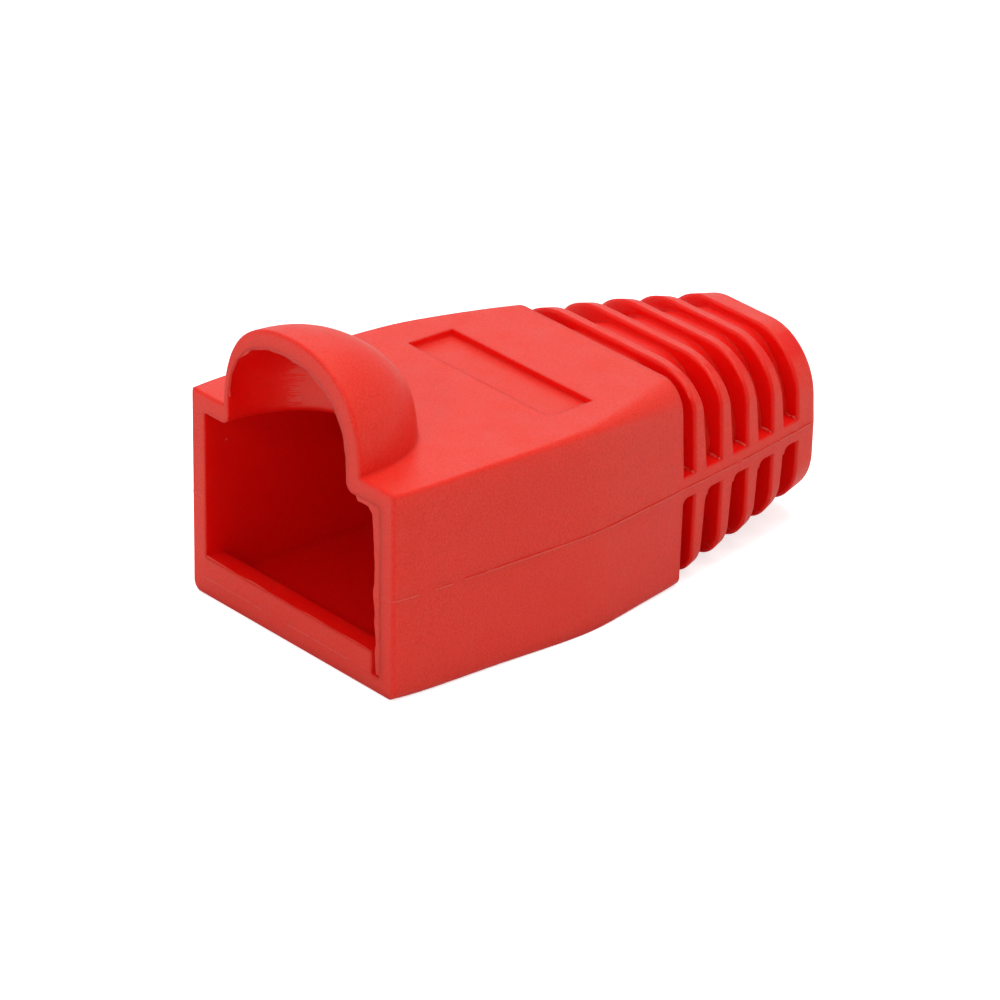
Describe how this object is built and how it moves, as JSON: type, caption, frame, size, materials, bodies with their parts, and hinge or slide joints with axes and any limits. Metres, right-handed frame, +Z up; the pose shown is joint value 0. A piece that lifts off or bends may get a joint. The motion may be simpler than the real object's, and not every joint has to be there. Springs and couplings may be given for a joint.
{
  "type": "rj45 strain relief boot",
  "caption": "Soft moulded boot that slides over a modular network plug: open plug socket, latch hood, label recess and a ribbed tapering tail that guards the cable against bending.",
  "frame": {"origin": "on the flat underside that the boot rests on, under the middle of its bounding box", "axes": "+Y runs from the plug mouth along the cable to the tail, +X is to the right seen into the mouth, +Z is up through the latch hood"},
  "size_m": [0.0142, 0.0258, 0.0143],
  "materials": {
    "soft_pvc": "satin moulded soft PVC with a fine even grain, coloured through"
  },
  "bodies": {
    "root": {"boot": "soft_pvc"}
  },
  "joints": []
}
